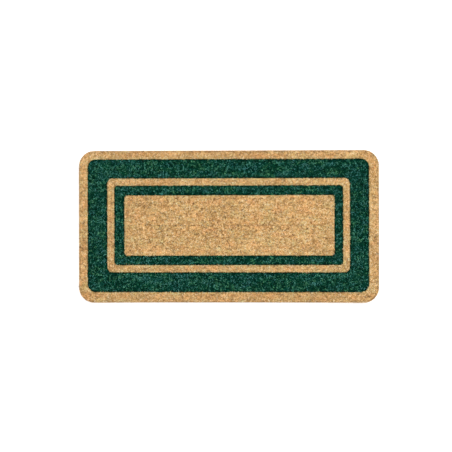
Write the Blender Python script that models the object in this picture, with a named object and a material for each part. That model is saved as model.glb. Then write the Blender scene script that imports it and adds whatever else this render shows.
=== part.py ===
"""Door mat: coir pile in dyed concentric bands, bonded to a flexible vinyl backing.

Metres, +Z up. The origin is the middle of the underside: +X runs along the mat's
length, +Y across it, and the mat lies flat on Z = 0.

A coir mat is made of very few pieces. The coconut fibres stand upright with their
roots in a sheet of vinyl, and they are dyed band by band, so the mat is one backing
and five zones of pile that lie inside one another like picture frames.
"""

import bmesh
import bpy
from math import cos, pi, sin
from mathutils import Vector

# Driving dimensions of the whole mat
LENGTH = 0.800
WIDTH = 0.406
THICKNESS = 0.017
BACKING_THICKNESS = 0.0028
CORNER_RADIUS = 0.041

# Touching pieces keep this gap
GAP = 0.0003

# Width of each frame of pile, as (at the two ends, along the two long sides)
BORDER = (0.0246, 0.0254)
WIDE_BAND = (0.0521, 0.0523)
STRIPE = (0.0180, 0.0190)
NARROW_BAND = (0.0253, 0.0260)

# Corner radius of each zone's outer outline: the further in, the sharper the stencil's corner
WIDE_BAND_RADIUS = 0.022
STRIPE_RADIUS = 0.014
NARROW_BAND_RADIUS = 0.009
CENTRE_RADIUS = 0.009

# How far each zone's centre sits off the mat's, as hand-laid dye stencils leave it
WIDE_BAND_SHIFT = (-0.0014, 0.0028)
STRIPE_SHIFT = (-0.0005, 0.0035)
NARROW_BAND_SHIFT = (0.0, 0.0036)
CENTRE_SHIFT = (0.0021, 0.0032)

# The shears round the pile over at the mat's rim, and leave a fine groove where
# two colours meet
RIM_ROUNDING = 0.0030
GROOVE_ROUNDING = 0.0008
ROUNDING_SEGMENTS = 3

POINTS_PER_CORNER = 10

COIR_NATURAL = (0.62, 0.36, 0.15)
COIR_PALE = (0.53, 0.34, 0.16)
COIR_GREEN = (0.008, 0.055, 0.035)
VINYL_BLACK = (0.02, 0.02, 0.02)


class Outline:
    """A rounded rectangle in plan: its half sizes, its centre and its corner radius."""

    def __init__(self, half_x, half_y, radius, centre=(0.0, 0.0)):
        self.half_x = half_x
        self.half_y = half_y
        self.radius = radius
        self.centre = centre

    def framed_by(self, margin, radius, centre):
        """The outline that a frame of this margin leaves inside this one."""
        return Outline(self.half_x - margin[0], self.half_y - margin[1], radius, centre)

    def offset(self, distance):
        """The same outline moved outwards, or inwards when the distance is negative."""
        return Outline(
            self.half_x + distance, self.half_y + distance, self.radius + distance, self.centre
        )

    def points(self):
        """The corner arcs, anticlockwise; straight sides join them."""
        points = []
        for corner, (sign_x, sign_y) in enumerate(((1, 1), (-1, 1), (-1, -1), (1, -1))):
            middle_x = self.centre[0] + sign_x * (self.half_x - self.radius)
            middle_y = self.centre[1] + sign_y * (self.half_y - self.radius)
            for step in range(POINTS_PER_CORNER + 1):
                angle = (corner + step / POINTS_PER_CORNER) * pi / 2
                points.append(
                    (middle_x + self.radius * cos(angle), middle_y + self.radius * sin(angle))
                )
        return points


def remove_all_objects():
    for thing in list(bpy.data.objects):
        bpy.data.objects.remove(thing, do_unlink=True)


def make_material(name, colour, roughness):
    material = bpy.data.materials.new(name)
    material.use_nodes = True
    shader = material.node_tree.nodes["Principled BSDF"]
    shader.inputs["Base Color"].default_value = (*colour, 1.0)
    shader.inputs["Roughness"].default_value = roughness
    shader.inputs["Metallic"].default_value = 0.0
    material.diffuse_color = (*colour, 1.0)
    return material


def flat_curve(name, outlines, thickness):
    """A flat 2D curve filled between its outlines: a plate, or a frame when there are two."""
    curve = bpy.data.curves.new(name, "CURVE")
    curve.dimensions = "2D"
    curve.fill_mode = "BOTH"
    curve.extrude = thickness / 2
    for outline in outlines:
        points = outline.points()
        spline = curve.splines.new("POLY")
        spline.points.add(len(points) - 1)
        for point, (x, y) in zip(spline.points, points):
            point.co = (x, y, 0.0, 1.0)
        spline.use_cyclic_u = True
    return curve


def welded_mesh(name, curve):
    """The curve as a mesh, with its caps joined to its walls."""
    source = bpy.data.objects.new(name + "_outline", curve)
    bpy.context.scene.collection.objects.link(source)
    evaluated = source.evaluated_get(bpy.context.evaluated_depsgraph_get())
    mesh = bpy.data.meshes.new_from_object(evaluated)
    bpy.data.objects.remove(source, do_unlink=True)
    solid = bmesh.new()
    solid.from_mesh(mesh)
    bmesh.ops.remove_doubles(solid, verts=solid.verts, dist=0.00001)
    bmesh.ops.recalc_face_normals(solid, faces=solid.faces)
    return mesh, solid


def rim_edges(solid, half_thickness, outline):
    """The top edges that run along one outline."""
    corners = [Vector((x, y)) for x, y in outline.points()]
    return [
        edge
        for edge in solid.edges
        if all(
            vertex.co.z > half_thickness * 0.99
            and min((vertex.co.xy - corner).length for corner in corners) < 0.0001
            for vertex in edge.verts
        )
        and edge.calc_face_angle(0.0) > pi / 4
    ]


def make_piece(collection, name, outlines, bottom, top, material, roundings=()):
    """One flat piece; each rounding is (outline, radius) and softens that top edge."""
    thickness = top - bottom
    mesh, solid = welded_mesh(name, flat_curve(name, outlines, thickness))
    for outline, radius in roundings:
        bmesh.ops.bevel(
            solid,
            geom=rim_edges(solid, thickness / 2, outline),
            offset=radius,
            segments=ROUNDING_SEGMENTS,
            profile=0.5,
            affect="EDGES",
        )
    solid.to_mesh(mesh)
    solid.free()
    mesh.name = name
    mesh.shade_smooth()
    mesh.set_sharp_from_angle(angle=pi / 6)
    mesh.materials.clear()
    mesh.materials.append(material)
    piece = bpy.data.objects.new(name, mesh)
    piece.location.z = bottom + thickness / 2
    collection.objects.link(piece)
    return piece


def make_backing(collection, rim):
    """The vinyl sheet that holds the roots of every fibre."""
    vinyl = make_material("vinyl_backing", VINYL_BLACK, 0.55)
    return make_piece(collection, "vinyl_backing", [rim], 0.0, BACKING_THICKNESS, vinyl)


def make_pile_zone(collection, name, outer, inner, colour, outer_rounding):
    """A zone of upright coir pile, sheared level: a frame, or a field with no inner outline."""
    coir = make_material(name, colour, 0.9)
    outlines = [outer]
    roundings = [(outer, outer_rounding)]
    if inner:
        hole = inner.offset(GAP)
        outlines.append(hole)
        roundings.append((hole, GROOVE_ROUNDING))
    bottom = BACKING_THICKNESS + GAP
    return make_piece(collection, name, outlines, bottom, THICKNESS, coir, roundings)


def make_door_mat():
    collection = bpy.data.collections.new("door_mat")
    bpy.context.scene.collection.children.link(collection)

    rim = Outline(LENGTH / 2, WIDTH / 2, CORNER_RADIUS)
    wide = rim.framed_by(BORDER, WIDE_BAND_RADIUS, WIDE_BAND_SHIFT)
    stripe = wide.framed_by(WIDE_BAND, STRIPE_RADIUS, STRIPE_SHIFT)
    narrow = stripe.framed_by(STRIPE, NARROW_BAND_RADIUS, NARROW_BAND_SHIFT)
    centre = narrow.framed_by(NARROW_BAND, CENTRE_RADIUS, CENTRE_SHIFT)

    make_backing(collection, rim)
    make_pile_zone(collection, "border_pile", rim, wide, COIR_NATURAL, RIM_ROUNDING)
    make_pile_zone(collection, "wide_band_pile", wide, stripe, COIR_GREEN, GROOVE_ROUNDING)
    make_pile_zone(collection, "stripe_pile", stripe, narrow, COIR_PALE, GROOVE_ROUNDING)
    make_pile_zone(collection, "narrow_band_pile", narrow, centre, COIR_GREEN, GROOVE_ROUNDING)
    make_pile_zone(collection, "centre_pile", centre, None, COIR_NATURAL, GROOVE_ROUNDING)


remove_all_objects()
make_door_mat()
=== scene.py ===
"""The door mat's looks: coir pile grown fibre by fibre on its vinyl sheet, in five dyed zones.

Everything is in metres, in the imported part's own frame. Each zone of pile is a low bed of
packed roots with tufts of separate fibres standing in it. The tufts stand in rows along X,
the shears cut them level, and the fibres at the mat's rim lean out over its edge.

A fibre's tone runs from 0, dark, to 1, light, and its hue from 0, warm, to 1, cool. An
ordinary fibre has 0.5 of each, and its row, its tuft and the fibre itself add to that.
"""

import math

import bpy
import numpy as np
from mathutils import Matrix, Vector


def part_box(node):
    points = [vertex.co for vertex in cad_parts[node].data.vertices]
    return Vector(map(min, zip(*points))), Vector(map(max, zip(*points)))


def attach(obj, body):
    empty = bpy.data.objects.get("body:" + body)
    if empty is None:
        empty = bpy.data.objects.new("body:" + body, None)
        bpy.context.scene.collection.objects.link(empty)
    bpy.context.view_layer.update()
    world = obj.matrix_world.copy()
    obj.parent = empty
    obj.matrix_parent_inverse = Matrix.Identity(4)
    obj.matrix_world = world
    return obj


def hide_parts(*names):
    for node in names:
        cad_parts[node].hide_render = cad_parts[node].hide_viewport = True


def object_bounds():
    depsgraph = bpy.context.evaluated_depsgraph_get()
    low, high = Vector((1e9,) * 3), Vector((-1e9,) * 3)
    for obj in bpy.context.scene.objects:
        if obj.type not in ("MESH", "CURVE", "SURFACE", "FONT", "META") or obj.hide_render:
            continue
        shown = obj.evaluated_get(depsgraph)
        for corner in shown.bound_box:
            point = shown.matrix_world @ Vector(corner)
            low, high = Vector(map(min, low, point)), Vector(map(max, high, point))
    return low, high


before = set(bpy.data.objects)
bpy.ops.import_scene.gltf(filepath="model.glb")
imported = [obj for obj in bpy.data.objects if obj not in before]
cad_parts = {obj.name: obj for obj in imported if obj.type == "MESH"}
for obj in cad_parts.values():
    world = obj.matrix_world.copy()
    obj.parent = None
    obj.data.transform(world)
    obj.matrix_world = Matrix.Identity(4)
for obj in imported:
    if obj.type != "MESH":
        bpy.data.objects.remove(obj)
cad_low, cad_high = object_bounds()

MM = 0.001
SEED = 20417

# Fibres: their range and their thickness at root and tip are in shares of the radius
FIBRE_RADIUS = 0.27 * MM
RADIUS_RANGE = (0.7, 1.3)
ROOT_THICKNESS = 1.1
TIP_THICKNESS = 0.8
FIBRE_SIDES = 3
RING_TWIST = 0.5
TUFT_RINGS = 2
RIM_RINGS = 3

# A direction that no fibre points along, which fixes where a fibre's first side faces
ACROSS_FIBRES = (0.31, 0.95, 0.05)

# Each exported piece of fibre stays under this many faces
MOST_FACES = 195_000

# The share of its cell in the UV layout that a fibre fills, and where its tip's face starts there
CELL_SHARE = 0.72
CAP_START = 0.8

# Tufts; no fibre stands in the hollow share of a tuft's area, at its middle
ROW_PITCH = 3.2 * MM
TUFT_PITCH = 3.0 * MM
JITTER_ALONG = 0.5 * MM
JITTER_ACROSS = 0.32 * MM
FIBRES_PER_TUFT = 9
TUFT_HOLLOW = 0.02
TUFT_FOOT = 0.8 * MM
TUFT_SPREAD = 1.5 * MM
TUFT_LEAN = 0.5 * MM
FIBRE_STRAY = 0.8 * MM
FIBRE_BOW = 0.3 * MM

# The height that the shears leave, a little under the top so that the highest fibres fit
SHEAR_DEPTH = 0.45 * MM
SHEAR_SCATTER = 0.28 * MM
LOWEST_CUT = -3 * SHEAR_SCATTER
HIGHEST_CUT = 1.2 * SHEAR_SCATTER
SHOULDER = 4.0 * MM
SHOULDER_DROP = 1.9 * MM

# The bed of packed roots
BED_DEPTH = 3.4 * MM
ROOT_BELOW_BED = 0.8 * MM
BED_STEP = 2.2 * MM
BED_CORNER_POINTS = 7
BED_LEAST_STEPS = 4
BED_GAP = 0.3 * MM
BED_SLIT = 0.2 * MM
BED_SHOULDER = 3.0 * MM
BED_SHOULDER_DROP = 1.2 * MM

# The rim: how many layers of fibres, where they stand and how they lean
RIM_INSET = 1.5 * MM
RIM_LAYERS = 4
RIM_PITCH = 0.45 * MM
RIM_FIRST_INSET = 0.55 * MM
RIM_LAYER_STEP = 0.35 * MM
RIM_ROOT_INSET = 0.1 * MM
RIM_ROOT_RISE = 0.3 * MM
RIM_JITTER = 0.4 * MM
RIM_LEAN = 0.48 * MM
RIM_LEAN_SCATTER = 0.36 * MM
RIM_SPLAY = 1.3 * MM
RIM_HEIGHT_SCATTER = 0.4 * MM
RIM_BOW = 0.5 * MM
RIM_TONE = 0.47
RIM_TONE_SCATTER = 0.15
RIM_HUE_SCATTER = 0.2

# The lower long edge is drawn in at its middle
EDGE_BOW = 1.5 * MM
EDGE_BOW_REACH = 8.0 * MM

# The tone and hue of an ordinary fibre, and how much rows, tufts and single fibres differ in them
ORDINARY = 0.5
ROW_TONE = 0.02
TUFT_TONE = 0.31
TUFT_HUE = 0.2
FIBRE_TONE = 0.24
FIBRE_HUE = 0.15

# Flecks: the share of tufts or fibres that stand out, and how much lighter they are
PALE_TUFTS = (0.08, 0.3)
DARK_TUFTS = (0.1, -0.35)
PALE_FIBRES = (0.05, 0.35)
DARK_FIBRES = (0.05, -0.4)
MISSED_BY_DYE = (0.03, 0.35)

# Dye pools along the stencil's edge and wicks a little way past it
STENCIL_EDGE = 4.8 * MM
POOLED_DYE = 0.7
POOLED_HUE = 0.55
WICKED_DYE = 0.6
WICKED_TONE = 0.12
DYE_STRAY = 0.375 * MM

# Slow changes over the mat: how strong each is, and the size of its patches along X and Y
ROW_DRIFT = (0.7 * MM, 26 * MM, 26 * MM)
TUFT_SWAY = (0.5 * MM, 14 * MM, 9 * MM)
SHEAR_SWELL = (0.25 * MM, 45 * MM, 30 * MM)
BED_LUMPS = (0.7 * MM, 3.1 * MM, 3.1 * MM)
BED_GRAIN = (0.45 * MM, 1.3 * MM, 1.3 * MM)
DYE_WANDER = (0.75 * MM, 2.4 * MM, 2.4 * MM)
TONE_CLUMPS = (0.14, 9 * MM, 6 * MM)
TONE_PATCHES = (0.05, 110 * MM, 60 * MM)
TONE_STREAKS = (0.12, 30 * MM, 4.2 * MM)
HUE_SPOTS = (0.4, 11 * MM, 11 * MM)
HUE_STREAKS = (0.38, 34 * MM, 9 * MM)

# The vinyl sheet, with the points round its outline, and the square pads moulded under it
VINYL_SPACING = (12, 40, 80)
VINYL_EDGE = 0.5 * MM
EDGE_ROUNDING = 0.3
SHARP_ANGLE = math.radians(35)
PAD_PITCH = 8.0 * MM
PAD_SIZE = 5.6 * MM
PAD_HEIGHT = 0.45 * MM
PAD_MARGIN = 7.0 * MM
PAD_ROOT = 0.2 * MM
PAD_TAPER = 0.86

# Camera: a photographer's stand right over the mat, measured from the top of the pile
LENS_MM = 65.73
SENSOR_MM = 36.0
CAMERA_AT = (0.0452, -0.0011, 2.1974)
CAMERA_TURN_DEG = (0.07, 1.344, -0.096)

# Studio
FLOOR_SIZE = 30
FLOOR_COLOUR = (0.85, 0.85, 0.846, 1)
SKY_COLOUR = (1.0, 1.0, 1.0, 1)
SKY_STRENGTH = 1.2

# Colours of the fibre from tone 0 to tone 1, and tints from hue 0 to hue 1
NATURAL_STOPS = (
    (0.0, (0.08, 0.034, 0.012)),
    (0.25, (0.32, 0.174, 0.054)),
    (0.5, (0.715, 0.444, 0.172)),
    (0.75, (0.88, 0.64, 0.305)),
    (1.0, (0.97, 0.84, 0.57)),
)
NATURAL_TINTS = (
    (0.0, (1.13, 0.90, 0.82)),
    (0.3, (1.05, 0.98, 0.84)),
    (0.5, (1.0, 1.0, 1.0)),
    (0.75, (0.96, 1.03, 1.18)),
    (1.0, (0.88, 1.03, 0.92)),
)
GREEN_STOPS = (
    (0.0, (0.0001, 0.004, 0.002)),
    (0.25, (0.0002, 0.012, 0.0065)),
    (0.5, (0.0006, 0.046, 0.0265)),
    (0.72, (0.0085, 0.157, 0.101)),
    (1.0, (0.15, 0.47, 0.355)),
)
GREEN_TINTS = (
    (0.0, (1.15, 1.03, 0.65)),
    (0.5, (1.0, 1.0, 1.0)),
    (1.0, (1.0, 0.94, 1.22)),
)
VINYL_STOPS = (
    (0.0, (0.012, 0.012, 0.012)),
    (0.5, (0.024, 0.023, 0.022)),
    (1.0, (0.062, 0.058, 0.052)),
)


# ---------------------------------------------------------------- outlines and zones


def outline_points(centre, half, radius, spacing):
    """Points round a rounded rectangle, anticlockwise from its right-hand side.

    spacing is how many points go round a corner, along an end and along a side, so outlines
    with one spacing have their corners at the same places in the list."""
    per_corner, per_end, per_side = spacing
    arcs = []
    for corner, sign in enumerate([(1, 1), (-1, 1), (-1, -1), (1, -1)]):
        angles = (corner + np.linspace(0, 1, per_corner)) * math.pi / 2
        middle = centre + np.array(sign) * (half - radius)
        arcs.append(middle + radius * np.stack([np.cos(angles), np.sin(angles)], -1))
    points = []
    for corner, arc in enumerate(arcs):
        straight = per_side if corner % 2 == 0 else per_end
        steps = np.linspace(0, 1, straight + 2)[1:-1, None]
        following = arcs[(corner + 1) % len(arcs)][0]
        points += [arc, arc[-1] * (1 - steps) + following * steps]
    return np.concatenate(points)


class Zone:
    """One zone of pile: its CAD node, its outer outline and how its fibres are coloured.

    radius is that of its outline's corners, and tone is what it adds to every fibre's tone."""

    def __init__(self, node, slot, radius, dyed, tone):
        low, high = (np.array(corner[:2]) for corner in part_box(node))
        self.node = node
        self.slot = slot
        self.label = node.removesuffix("_pile")
        self.centre = (low + high) / 2
        self.half = (high - low) / 2
        self.radius = radius
        self.dyed = dyed
        self.tone = tone

    def distance(self, x, y):
        """Distance outside the zone's outer outline, negative inside it."""
        across = np.abs(x - self.centre[0]) - (self.half[0] - self.radius)
        along = np.abs(y - self.centre[1]) - (self.half[1] - self.radius)
        outside = np.hypot(np.maximum(across, 0), np.maximum(along, 0))
        return outside + np.minimum(np.maximum(across, along), 0) - self.radius

    def outline(self, inset, spacing):
        """Points round the zone's outer outline, moved in by inset."""
        return outline_points(self.centre, self.half - inset, self.radius - inset, spacing)


ZONES = [
    Zone("border_pile", "coir_border", radius=41 * MM, dyed=False, tone=-0.03),
    Zone("wide_band_pile", "coir_green", radius=22 * MM, dyed=True, tone=-0.04),
    Zone("stripe_pile", "coir_stripe", radius=14 * MM, dyed=False, tone=-0.03),
    Zone("narrow_band_pile", "coir_green", radius=9 * MM, dyed=True, tone=-0.05),
    Zone("centre_pile", "coir_centre", radius=9 * MM, dyed=False, tone=0.0),
]
PILE_TOP = cad_high.z
PILE_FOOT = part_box("border_pile")[0].z
BED_TOP = PILE_TOP - BED_DEPTH

# The border's outline is the whole mat's
MAT = ZONES[0]


def centred(count, pitch):
    """Places along a line, a pitch apart, with their middle at 0."""
    return (np.arange(count) - (count - 1) / 2) * pitch


# ---------------------------------------------------------------- random fields


class Noise:
    """Smooth noise over the mat, from -strength to strength, on a lattice of random values."""

    SIZE = 256

    def __init__(self, rng, strength, cell_x, cell_y):
        self.lattice = rng.uniform(-1, 1, (self.SIZE, self.SIZE))
        self.strength = strength
        self.cell_x = cell_x
        self.cell_y = cell_y

    def __call__(self, x, y):
        middle = self.SIZE // 4
        u, v = x / self.cell_x + middle, y / self.cell_y + middle
        i, j = np.floor(u).astype(int), np.floor(v).astype(int)
        s, t = u - i, v - j
        s, t = s * s * (3 - 2 * s), t * t * (3 - 2 * t)
        i0, i1 = i % self.SIZE, (i + 1) % self.SIZE
        j0, j1 = j % self.SIZE, (j + 1) % self.SIZE
        low = self.lattice[i0, j0] * (1 - s) + self.lattice[i1, j0] * s
        high = self.lattice[i0, j1] * (1 - s) + self.lattice[i1, j1] * s
        return self.strength * (low * (1 - t) + high * t)


def flecks(rng, count, share, change):
    """The change for a random share of the count, and 0 for the others."""
    return np.where(rng.random(count) < share, change, 0.0)


# ---------------------------------------------------------------- meshes from arrays


def make_mesh(name, points, quads, triangles, material, uv=None, attributes=None):
    """A mesh object from arrays.

    uv is a layout for the colours, with a row for each corner of each face."""
    mesh = bpy.data.meshes.new(name)
    corners = np.concatenate([quads.ravel(), triangles.ravel()]).astype(np.int32)
    sizes = np.concatenate([np.full(len(quads), 4), np.full(len(triangles), 3)])
    starts = np.concatenate([[0], np.cumsum(sizes)[:-1]]).astype(np.int32)
    mesh.vertices.add(len(points))
    mesh.vertices.foreach_set("co", points.astype(np.float32).ravel())
    mesh.loops.add(len(corners))
    mesh.loops.foreach_set("vertex_index", corners)
    mesh.polygons.add(len(sizes))
    mesh.polygons.foreach_set("loop_start", starts)
    mesh.update(calc_edges=True)
    mesh.polygons.foreach_set("use_smooth", np.ones(len(sizes), dtype=bool))
    for key, values in (attributes or {}).items():
        layer = mesh.attributes.new(key, "FLOAT", "POINT")
        layer.data.foreach_set("value", values.astype(np.float32))
    if uv is not None:
        mesh.uv_layers.new(name="OFBake").data.foreach_set("uv", uv.astype(np.float32).ravel())
    mesh.materials.append(material)
    piece = bpy.data.objects.new(name, mesh)
    bpy.context.scene.collection.objects.link(piece)
    return piece


def band_quads(rings, around):
    """The faces that join each ring of points to the next."""
    ring = around * np.arange(rings - 1)[:, None]
    step = np.arange(around)[None, :]
    after = (step + 1) % around
    corners = [ring + step, ring + after, ring + around + after, ring + around + step]
    return np.stack(corners, -1).reshape(-1, 4)


def at_height(plan, height):
    """Points over a plan, at one height or at a height for each."""
    return np.column_stack([plan, np.broadcast_to(height, len(plan))])


def loop_solid(name, rings, material):
    """A closed solid from rings of points that follow one another round its cross-section."""
    points = np.concatenate(rings)
    quads = band_quads(len(rings) + 1, len(rings[0])) % len(points)
    return make_mesh(name, points, quads, np.empty((0, 3), int), material)


# ---------------------------------------------------------------- materials


class Shading:
    """One material: its Principled BSDF, and the kinds of node that feed it."""

    def __init__(self, name):
        self.material = bpy.data.materials.new(name)
        self.material.use_nodes = True
        self.nodes = self.material.node_tree.nodes
        self.links = self.material.node_tree.links
        self.shader = self.nodes["Principled BSDF"]

    def set(self, socket, value):
        """Gives one of the shader's sockets the same value all over."""
        self.shader.inputs[socket].default_value = value

    def feed(self, socket, source):
        """Lets a node vary one of the shader's sockets over the surface."""
        self.links.new(source, self.shader.inputs[socket])

    def place(self):
        """Where a point of the surface lies on the mat, in metres."""
        return self.nodes.new("ShaderNodeTexCoord").outputs["Object"]

    def attribute(self, name):
        """A number that the mesh holds for each of its points."""
        node = self.nodes.new("ShaderNodeAttribute")
        node.attribute_name = name
        return node.outputs["Fac"]

    def noise(self, place, scale, detail, stretch=(1, 1, 1)):
        """Noise in three dimensions; a stretch under 1 draws it out along that axis."""
        mapping = self.nodes.new("ShaderNodeMapping")
        mapping.inputs["Scale"].default_value = stretch
        noise = self.nodes.new("ShaderNodeTexNoise")
        noise.inputs["Scale"].default_value = scale
        noise.inputs["Detail"].default_value = detail
        self.links.new(place, mapping.inputs["Vector"])
        self.links.new(mapping.outputs["Vector"], noise.inputs["Vector"])
        return noise.outputs["Fac"]

    def add(self, first, second):
        """The sum of two nodes' numbers."""
        node = self.nodes.new("ShaderNodeMath")
        node.operation = "ADD"
        self.links.new(first, node.inputs[0])
        self.links.new(second, node.inputs[1])
        return node.outputs[0]

    def remap(self, value, low, high):
        """A value from 0 to 1, spread over low to high."""
        node = self.nodes.new("ShaderNodeMapRange")
        node.inputs["To Min"].default_value = low
        node.inputs["To Max"].default_value = high
        self.links.new(value, node.inputs["Value"])
        return node.outputs["Result"]

    def ramp(self, value, stops):
        """The colour that stands at a value between the stops, each a position and a colour."""
        node = self.nodes.new("ShaderNodeValToRGB")
        elements = node.color_ramp.elements
        while len(elements) > 1:
            elements.remove(elements[-1])
        elements[0].position = stops[0][0]
        elements[0].color = (*stops[0][1], 1)
        for position, colour in stops[1:]:
            elements.new(position).color = (*colour, 1)
        self.links.new(value, node.inputs["Fac"])
        return node.outputs["Color"]

    def multiply(self, colour, factor):
        """The colour times a factor or a tint that varies over the surface."""
        node = self.nodes.new("ShaderNodeMix")
        node.data_type = "RGBA"
        node.blend_type = "MULTIPLY"
        node.inputs["Factor"].default_value = 1.0
        self.links.new(colour, node.inputs["A"])
        self.links.new(factor, node.inputs["B"])
        return node.outputs["Result"]

    def bump(self, height, strength, distance):
        """Roughens the surface by a height from 0 to 1, which stands for distance."""
        node = self.nodes.new("ShaderNodeBump")
        node.inputs["Strength"].default_value = strength
        node.inputs["Distance"].default_value = distance
        self.links.new(height, node.inputs["Height"])
        self.feed("Normal", node.outputs["Normal"])


def fibre_material(name, stops, tints, painted_root_shade, gloss, sheen):
    """Coconut fibre: a waxy, streaky strand, its colour darkened towards its root by painted shade, as
    deep in the pile.
    """
    look = Shading(name)
    place = look.place()
    streak = look.noise(place, scale=1400, detail=2.0, stretch=(1, 1, 0.25))
    blotch = look.noise(place, scale=55, detail=3.0, stretch=(0.6, 1, 1))
    tone = look.add(look.attribute("tone"), look.remap(streak, low=-0.09, high=0.09))
    tone = look.add(tone, look.remap(blotch, low=-0.07, high=0.07))
    tint = look.ramp(look.attribute("hue"), tints)
    # Painted shade: the colour darkens from the tip down to the root, for the shade deep in the pile
    shade = look.remap(look.attribute("along"), low=painted_root_shade, high=1.0)
    tinted = look.multiply(look.ramp(tone, stops), tint)
    look.feed("Base Color", look.multiply(tinted, shade))
    look.feed("Roughness", look.remap(streak, low=0.62, high=0.9))
    look.set("Specular IOR Level", gloss)
    look.set("Sheen Weight", sheen)
    look.set("Sheen Roughness", 0.6)
    look.bump(streak, strength=0.5, distance=0.08 * MM)
    return look.material


def bed_material(name, stops, gloss):
    """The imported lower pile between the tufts, in shade: a felt of fibre seen end on."""
    look = Shading(name)
    place = look.place()
    felt = look.noise(place, scale=900, detail=3.0, stretch=(0.7, 1, 0.4))
    rows = look.noise(place, scale=260, detail=2.0, stretch=(0.35, 1, 1))
    tone = look.add(look.remap(felt, low=-0.05, high=0.70), look.remap(rows, low=-0.12, high=0.28))
    shade = look.remap(felt, low=0.75, high=0.95)
    look.feed("Base Color", look.multiply(look.ramp(tone, stops), shade))
    look.feed("Roughness", look.remap(felt, low=0.8, high=1.0))
    look.set("Specular IOR Level", gloss)
    look.bump(felt, strength=0.9, distance=0.6 * MM)
    return look.material


def vinyl_material():
    """Soft black vinyl: slightly mottled, with a fine moulded grain and dusty high spots."""
    look = Shading("backing_vinyl")
    place = look.place()
    grain = look.noise(place, scale=1500, detail=4.0)
    cloud = look.noise(place, scale=38, detail=4.0)
    dust = look.add(look.remap(grain, low=-0.25, high=0.45), look.remap(cloud, low=-0.2, high=0.5))
    look.feed("Base Color", look.ramp(dust, VINYL_STOPS))
    look.feed("Roughness", look.remap(cloud, low=0.42, high=0.68))
    look.set("Specular IOR Level", 0.45)
    look.bump(grain, strength=0.35, distance=0.25 * MM)
    return look.material


# ---------------------------------------------------------------- the vinyl sheet


def make_vinyl(material):
    """The vinyl sheet: a plate with softened edges, and square pads moulded under it."""
    low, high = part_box("vinyl_backing")
    top, under = high.z, low.z + PAD_HEIGHT
    edge, bend = VINYL_EDGE, VINYL_EDGE * EDGE_ROUNDING
    # Down round the sheet's side, each point as its inset from the outline and its height
    section = [
        (edge, top), (bend, top - bend), (0.0, top - edge),
        (0.0, under + edge), (bend, under + bend), (edge, under),
    ]
    rings = [at_height(MAT.outline(inset, VINYL_SPACING), height) for inset, height in section]
    middles = [(*MAT.centre, top), (*MAT.centre, under)]
    plate = np.concatenate([*rings, middles])

    around = len(rings[0])
    sides = band_quads(len(rings), around)[:, ::-1]
    step = np.arange(around)
    after = (step + 1) % around
    last = len(plate) - len(middles) - around
    top_middle = np.full(around, len(plate) - 2)
    under_middle = np.full(around, len(plate) - 1)
    fans = np.concatenate([
        np.stack([top_middle, step, after], -1),
        np.stack([under_middle, last + after, last + step], -1),
    ])

    pads, pad_quads = moulded_pads(low.z, under)
    points = np.concatenate([plate, pads])
    quads = np.concatenate([sides, pad_quads + len(plate)])
    piece = make_mesh("vinyl_sheet", points, quads, fans, material)
    piece.data.set_sharp_from_angle(angle=SHARP_ANGLE)
    return piece


def moulded_pads(floor, under):
    """Small square pads rooted in the sheet's underside, where they clear its rounded outline."""
    columns = round(2 * (MAT.half[0] - PAD_MARGIN) / PAD_PITCH)
    rows = round(2 * (MAT.half[1] - PAD_MARGIN) / PAD_PITCH)
    x, y = np.meshgrid(centred(columns, PAD_PITCH), centred(rows, PAD_PITCH))
    inside = MAT.distance(x, y) < -PAD_MARGIN
    middles = np.stack([x[inside], y[inside]], -1)[:, None]
    square = np.array([(-1, -1), (1, -1), (1, 1), (-1, 1)]) * PAD_SIZE / 2
    corners = np.empty((len(middles), 8, 3))
    corners[:, :4, :2] = middles + square
    corners[:, 4:, :2] = middles + square * PAD_TAPER
    corners[:, :4, 2] = under + PAD_ROOT
    corners[:, 4:, 2] = floor
    faces = np.array([(4, 5, 1, 0), (5, 6, 2, 1), (6, 7, 3, 2), (7, 4, 0, 3), (6, 5, 4, 7), (1, 2, 3, 0)])
    quads = 8 * np.arange(len(middles))[:, None, None] + faces
    return corners.reshape(-1, 3), quads.reshape(-1, 4)


# ---------------------------------------------------------------- the beds of packed roots


def make_bed(zone, inner, material, rng):
    """The zone's packed roots: a frame, or a field that closes on the line down its middle."""
    half_x, half_y = zone.half
    spacing = (BED_CORNER_POINTS, round(2 * half_y / BED_STEP), round(2 * half_x / BED_STEP))
    wall = RIM_INSET if zone is MAT else 0.0
    outer = zone.outline(wall, spacing)
    if inner:
        hole = inner.outline(-BED_GAP, spacing)
    else:
        line = np.array([half_x - half_y + BED_SLIT, BED_SLIT])
        hole = outline_points(zone.centre, line, BED_SLIT / 2, spacing)
    width = half_y - wall - abs(hole[:, 1] - zone.centre[1]).max()
    steps = max(BED_LEAST_STEPS, int(width / BED_STEP))
    lumps, grain = Noise(rng, *BED_LUMPS), Noise(rng, *BED_GRAIN)
    rings = []
    for t in np.linspace(0, 1, steps + 1):
        plan = outer * (1 - t) + hole * t
        height = BED_TOP + lumps(*plan.T) + grain(*plan.T)
        if zone is MAT:
            height = height - BED_SHOULDER_DROP * max(0.0, 1 - t * width / BED_SHOULDER) ** 2
        rings.append(at_height(plan, height))
    rings.append(at_height(hole, PILE_FOOT))
    rings.append(at_height(outer, PILE_FOOT))
    return loop_solid(zone.label + "_bed", rings, material)


# ---------------------------------------------------------------- meshes of fibres


class Fibres:
    """Many fibres as arrays: where each starts and ends, how it bows, and how it is coloured."""

    def __init__(self, root, tip, bow, radius, tone, hue):
        self.root, self.tip, self.bow = root, tip, bow
        self.radius, self.tone, self.hue = radius, tone, hue

    def __len__(self):
        return len(self.root)

    def pick(self, chosen):
        """A copy of the chosen fibres."""
        return Fibres(
            self.root[chosen], self.tip[chosen], self.bow[chosen],
            self.radius[chosen], self.tone[chosen], self.hue[chosen],
        )


def faces_per_fibre(rings):
    """Triangles in one fibre: its sides and the flat cut at its tip."""
    return 2 * FIBRE_SIDES * (rings - 1) + 1


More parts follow.
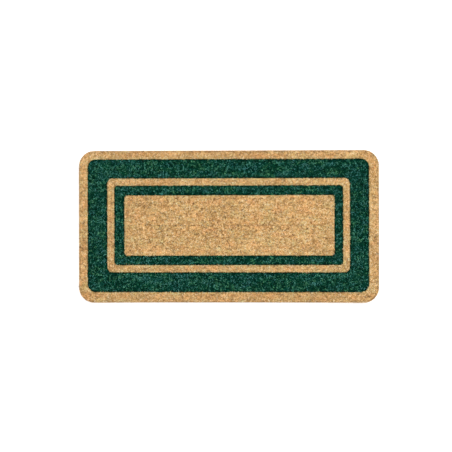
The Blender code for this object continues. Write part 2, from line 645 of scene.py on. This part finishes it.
def unit(vectors):
    """The vectors, each made one unit long."""
    return vectors / np.maximum(np.linalg.norm(vectors, axis=1, keepdims=True), 1e-12)


def make_fibres(name, fibres, rings, material):
    """One mesh of three-sided fibres that taper, bow between root and tip, and are cut off level."""
    count = len(fibres)
    axis = unit(fibres.tip - fibres.root)
    side_a = unit(np.cross(axis, ACROSS_FIBRES))
    side_b = np.cross(axis, side_a)
    points = np.empty((count, rings, FIBRE_SIDES, 3))
    along = np.linspace(0, 1, rings)
    for ring, t in enumerate(along):
        middle = fibres.root * (1 - t) + fibres.tip * t + fibres.bow * (4 * t * (1 - t))
        radius = fibres.radius * (ROOT_THICKNESS - (ROOT_THICKNESS - TIP_THICKNESS) * t)
        for side in range(FIBRE_SIDES):
            angle = side * 2 * math.pi / FIBRE_SIDES + ring * RING_TWIST
            offset = math.cos(angle) * side_a + math.sin(angle) * side_b
            points[:, ring, side] = middle + radius[:, None] * offset
    slide = (fibres.tip[:, None, 2] - points[:, -1, :, 2]) / axis[:, None, 2]
    points[:, -1] += slide[..., None] * axis[:, None]

    first = rings * FIBRE_SIDES * np.arange(count)[:, None]
    quads = (first[..., None] + band_quads(rings, FIBRE_SIDES)).reshape(-1, 4)
    caps = first + (rings - 1) * FIBRE_SIDES + np.arange(FIBRE_SIDES)
    values = {
        "tone": np.repeat(fibres.tone, rings * FIBRE_SIDES),
        "hue": np.repeat(fibres.hue, rings * FIBRE_SIDES),
        "along": np.tile(np.repeat(along, FIBRE_SIDES), count),
    }
    return make_mesh(name, points.reshape(-1, 3), quads, caps, material, fibre_uv(count, rings), values)


def fibre_uv(count, rings):
    """A small cell of the UV layout for each fibre: its sides across, its length up."""
    columns = math.ceil(math.sqrt(count))
    rows = math.ceil(count / columns)
    cell = np.arange(count)[:, None]
    left, bottom = (cell % columns) / columns, (cell // columns) / rows
    margin = (1 - CELL_SHARE) / 2
    ring, side = np.arange(rings - 1)[:, None, None], np.arange(FIBRE_SIDES)[None, :, None]
    across = (side + np.array([0, 1, 1, 0])) / FIBRE_SIDES + 0 * ring
    up = (ring + np.array([0, 0, 1, 1])) / (rings - 1) + 0 * side
    side_u = left + (margin + CELL_SHARE * across.reshape(1, -1)) / columns
    side_v = bottom + (margin + CELL_SHARE * up.reshape(1, -1)) / rows
    cap_u = left + (margin + CELL_SHARE * np.array([0, 1, 0.5])) / columns
    cap_v = bottom + (margin + CELL_SHARE * np.array([CAP_START, CAP_START, 1.0])) / rows
    sides = np.stack([side_u.ravel(), side_v.ravel()], -1)
    caps = np.stack([cap_u.ravel(), cap_v.ravel()], -1)
    return np.concatenate([sides, caps])


def grow_pieces(label, fibres, rings, material):
    """Makes the fibres into as many pieces as the face limit asks for, side by side along X."""
    share = MOST_FACES // faces_per_fibre(rings)
    parts = math.ceil(len(fibres) / share)
    order = np.argsort(fibres.root[:, 0], kind="stable")
    pieces = []
    for number, chosen in enumerate(np.array_split(order, parts), 1):
        piece = make_fibres(f"{label}_{number}", fibres.pick(chosen), rings, material)
        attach(piece, "root")
        pieces.append(piece)
    return pieces


# ---------------------------------------------------------------- how the fibres grow


def drawn_in(points):
    """The points, with the lower long edge drawn in at its middle, as no mat is cut quite straight."""
    x, y, z = points.T
    half_x, half_y = MAT.half
    near_edge = np.clip((EDGE_BOW_REACH - half_y - y) / EDGE_BOW_REACH, 0, 1)
    near_middle = np.clip(1 - (x / half_x) ** 2, 0, 1)
    return np.column_stack([x, y + EDGE_BOW * near_edge * near_middle, z])


def sheared_height(rng, x, y):
    """The height the shears left: level, with a slow swell, rounded over at the mat's rim."""
    swell = Noise(rng, *SHEAR_SWELL)
    inside = np.clip(-MAT.distance(x, y) / SHOULDER, 0, 1)
    scatter = np.clip(rng.normal(0, SHEAR_SCATTER, len(x)), LOWEST_CUT, HIGHEST_CUT)
    return PILE_TOP - SHEAR_DEPTH - SHOULDER_DROP * (1 - inside) ** 2 + scatter + swell(x, y)


def plant_tufts(rng):
    """Rows of tufts along X: where each stands, how far its tip leans, and its tone and hue."""
    half_x, half_y = MAT.half
    rows = int(2 * half_y / ROW_PITCH)
    per_row = int(2 * half_x / TUFT_PITCH)
    x = centred(per_row, TUFT_PITCH) + rng.uniform(-0.5, 0.5, (rows, 1)) * TUFT_PITCH
    y = np.broadcast_to(centred(rows, ROW_PITCH)[:, None], x.shape)
    tone = np.broadcast_to(rng.normal(0, ROW_TONE, (rows, 1)), x.shape)
    drift = Noise(rng, *ROW_DRIFT)
    x, y, tone = x.ravel(), y.ravel(), tone.ravel()
    x = x + rng.normal(0, JITTER_ALONG, len(x))
    y = y + rng.normal(0, JITTER_ACROSS, len(y)) + drift(x, y)
    keep = MAT.distance(x, y) < -RIM_INSET
    x, y, tone = x[keep], y[keep], tone[keep]
    count = len(x)

    sway_x, sway_y = Noise(rng, *TUFT_SWAY), Noise(rng, *TUFT_SWAY)
    lean = rng.normal(0, TUFT_LEAN, (count, 2)) + np.stack([sway_x(x, y), sway_y(x, y)], -1)
    clumps = Noise(rng, *TONE_CLUMPS)
    tone = tone + rng.normal(0, TUFT_TONE, count) + clumps(x, y)
    tone += flecks(rng, count, *PALE_TUFTS)
    tone += flecks(rng, count, *DARK_TUFTS)
    tone += Noise(rng, *TONE_PATCHES)(x, y)
    tone += Noise(rng, *TONE_STREAKS)(x, y)
    hue = rng.normal(0, TUFT_HUE, count) + Noise(rng, *HUE_SPOTS)(x, y)
    hue += Noise(rng, *HUE_STREAKS)(x, y)
    return np.stack([x, y], -1), lean, tone, hue


def tufted_fibres(rng):
    """The upright pile: each tuft is a bundle that opens towards its top."""
    middle, lean, tuft_tone, tuft_hue = plant_tufts(rng)
    own = np.repeat(np.arange(len(middle)), FIBRES_PER_TUFT)
    count = len(own)
    angle = rng.uniform(0, 2 * math.pi, count)
    reach = np.sqrt(rng.uniform(TUFT_HOLLOW, 1, count))
    outward = np.stack([np.cos(angle), np.sin(angle)], -1) * reach[:, None]
    stray = rng.normal(0, FIBRE_STRAY, (count, 2))
    plan_root = middle[own] + outward * TUFT_FOOT
    plan_tip = plan_root + outward * TUFT_SPREAD + lean[own] + stray
    root = drawn_in(at_height(plan_root, BED_TOP - ROOT_BELOW_BED))
    tip = drawn_in(at_height(plan_tip, sheared_height(rng, *plan_tip.T)))
    bow = at_height(rng.normal(0, FIBRE_BOW, (count, 2)), 0.0)
    radius = FIBRE_RADIUS * rng.uniform(*RADIUS_RANGE, count)
    tone = ORDINARY + tuft_tone[own] + rng.normal(0, FIBRE_TONE, count)
    tone += flecks(rng, count, *PALE_FIBRES)
    tone += flecks(rng, count, *DARK_FIBRES)
    hue = ORDINARY + tuft_hue[own] + rng.normal(0, FIBRE_HUE, count)
    return Fibres(root, tip, bow, radius, tone, hue)


def rim_fibres(rng):
    """The cut side of the pile: layers of whole fibres from the vinyl up, the outer ones leaning out."""
    corner = round(0.5 * math.pi * MAT.radius / RIM_PITCH)
    side, end = (round(2 * (half - MAT.radius) / RIM_PITCH) for half in MAT.half)
    spacing = (corner, end, side)
    roots, tips = [], []
    for layer in range(RIM_LAYERS):
        inset = RIM_FIRST_INSET + RIM_LAYER_STEP * layer
        plan = MAT.outline(inset, spacing)
        normal = (MAT.outline(inset - MM, spacing) - plan) / MM
        sideways = np.stack([-normal[:, 1], normal[:, 0]], -1)
        count = len(plan)
        plan = plan + sideways * rng.normal(0, RIM_JITTER, (count, 1))
        lean = rng.normal(RIM_LEAN, RIM_LEAN_SCATTER, (count, 1))
        plan_tip = plan + normal * lean + sideways * rng.normal(0, RIM_SPLAY, (count, 1))
        low = PILE_FOOT + rng.uniform(0, RIM_ROOT_RISE, count)
        fallen = np.clip(1 - (inset - lean[:, 0]) / SHOULDER, 0, 1) ** 2
        high = PILE_TOP - SHEAR_DEPTH - SHOULDER_DROP * fallen + rng.normal(0, RIM_HEIGHT_SCATTER, count)
        roots.append(at_height(plan - normal * RIM_ROOT_INSET, low))
        tips.append(at_height(plan_tip, high))
    root = drawn_in(np.concatenate(roots))
    tip = drawn_in(np.concatenate(tips))
    count = len(root)
    bow = at_height(rng.normal(0, RIM_BOW, (count, 2)), 0.0)
    radius = FIBRE_RADIUS * rng.uniform(*RADIUS_RANGE, count)
    tone = RIM_TONE + rng.normal(0, RIM_TONE_SCATTER, count)
    hue = ORDINARY + rng.normal(0, RIM_HUE_SCATTER, count)
    return Fibres(root, tip, bow, radius, tone, hue)


# ---------------------------------------------------------------- dye


def zones_of(fibres, rng):
    """The number of the zone whose dye each fibre took; the edges wander a little from fibre to fibre."""
    x, y = fibres.root[:, 0], fibres.root[:, 1]
    wander = Noise(rng, *DYE_WANDER)(x, y) + rng.normal(0, DYE_STRAY, len(x))
    numbers = np.zeros(len(x), int)
    for number, zone in enumerate(ZONES[1:], 1):
        numbers[zone.distance(x, y) < wander] = number
    return numbers


def nearness_to_stencil(points):
    """1 where two colours meet, falling to 0 at STENCIL_EDGE from there."""
    x, y = points[:, 0], points[:, 1]
    nearest = np.min([np.abs(zone.distance(x, y)) for zone in ZONES[1:]], axis=0)
    return np.clip(1 - nearest / STENCIL_EDGE, 0, 1)


def colour_fibres(fibres, zone, rng):
    """Gives fibres their zone's tone, with the dye that pools along the stencil or wicks past it."""
    near = nearness_to_stencil(fibres.root)
    fibres.tone += zone.tone
    if zone.dyed:
        fibres.tone += flecks(rng, len(fibres), *MISSED_BY_DYE) - POOLED_DYE * near
        fibres.hue -= POOLED_HUE * near
    else:
        fibres.tone += WICKED_TONE * near
        fibres.hue += WICKED_DYE * near


def grow_pile():
    """Every zone's bed and fibres, and the rim's fibres; returns all the pieces."""
    rng = np.random.default_rng(SEED)
    # The darkening towards each fibre's root is painted shade, for the depth of the pile
    natural = fibre_material(
        "coir_natural", NATURAL_STOPS, NATURAL_TINTS, painted_root_shade=0.7, gloss=0.22, sheen=0.15)
    green = fibre_material("coir_green", GREEN_STOPS, GREEN_TINTS, painted_root_shade=0.5, gloss=0.01, sheen=0.0)
    natural_bed = bed_material("coir_natural_bed", NATURAL_STOPS, gloss=0.1)
    green_bed = bed_material("coir_green_bed", GREEN_STOPS, gloss=0.05)

    pieces = []
    for zone, inner in zip(ZONES, [*ZONES[1:], None]):
        bed = make_bed(zone, inner, green_bed if zone.dyed else natural_bed, rng)
        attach(bed, "root")
        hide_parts(zone.node)
        pieces.append(bed)

    fibres = tufted_fibres(rng)
    numbers = zones_of(fibres, rng)
    for number, zone in enumerate(ZONES):
        own = fibres.pick(numbers == number)
        colour_fibres(own, zone, rng)
        material = green if zone.dyed else natural
        pieces += grow_pieces(zone.label + "_fibres", own, TUFT_RINGS, material)
    pieces += grow_pieces("rim_fibres", rim_fibres(rng), RIM_RINGS, natural)
    return pieces


# ---------------------------------------------------------------- the studio


def make_floor():
    """The plain pale floor that the mat lies on."""
    bpy.ops.mesh.primitive_plane_add(size=FLOOR_SIZE)
    floor = bpy.context.object
    floor.name = "floor"
    paint = Shading("floor_paint")
    paint.set("Base Color", FLOOR_COLOUR)
    paint.set("Roughness", 0.95)
    paint.set("Specular IOR Level", 0.1)
    floor.data.materials.append(paint.material)


def make_sky():
    """An even white light from all round."""
    world = bpy.data.worlds.new("studio")
    world.use_nodes = True
    background = world.node_tree.nodes["Background"]
    background.inputs["Color"].default_value = SKY_COLOUR
    background.inputs["Strength"].default_value = SKY_STRENGTH
    bpy.context.scene.world = world


def add_softbox(name, place, size, power):
    """A square lamp that faces the mat."""
    light = bpy.data.lights.new(name, "AREA")
    light.shape = "SQUARE"
    light.size = size
    light.energy = power
    lamp = bpy.data.objects.new(name, light)
    lamp.location = place
    lamp.rotation_euler = (-lamp.location).to_track_quat("-Z", "Y").to_euler()
    bpy.context.scene.collection.objects.link(lamp)


def make_studio():
    make_floor()
    make_sky()
    add_softbox("key", place=(1.0, 1.0, 2.8), size=1.6, power=88)
    add_softbox("fill", place=(-1.8, -1.4, 2.2), size=2.4, power=34)
    bpy.context.scene.view_settings.view_transform = "Standard"


def make_camera():
    """The camera over the mat: it looks down, with +Y up in its picture, but for small turns."""
    camera = bpy.data.cameras.new("camera")
    camera.sensor_width = SENSOR_MM
    camera.lens = LENS_MM
    holder = bpy.data.objects.new("camera", camera)
    tilt, pan, roll = (math.radians(angle) for angle in CAMERA_TURN_DEG)
    turn = Matrix.Rotation(roll, 4, "Z") @ Matrix.Rotation(tilt, 4, "X") @ Matrix.Rotation(pan, 4, "Y")
    x, y, above = CAMERA_AT
    holder.matrix_world = Matrix.Translation((x, y, above + PILE_TOP)) @ turn
    bpy.context.scene.collection.objects.link(holder)
    bpy.context.scene.camera = holder


# ---------------------------------------------------------------- the mat


make_camera()
make_studio()
pile_pieces = grow_pile()

vinyl = make_vinyl(vinyl_material())
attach(vinyl, "root")
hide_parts("vinyl_backing")
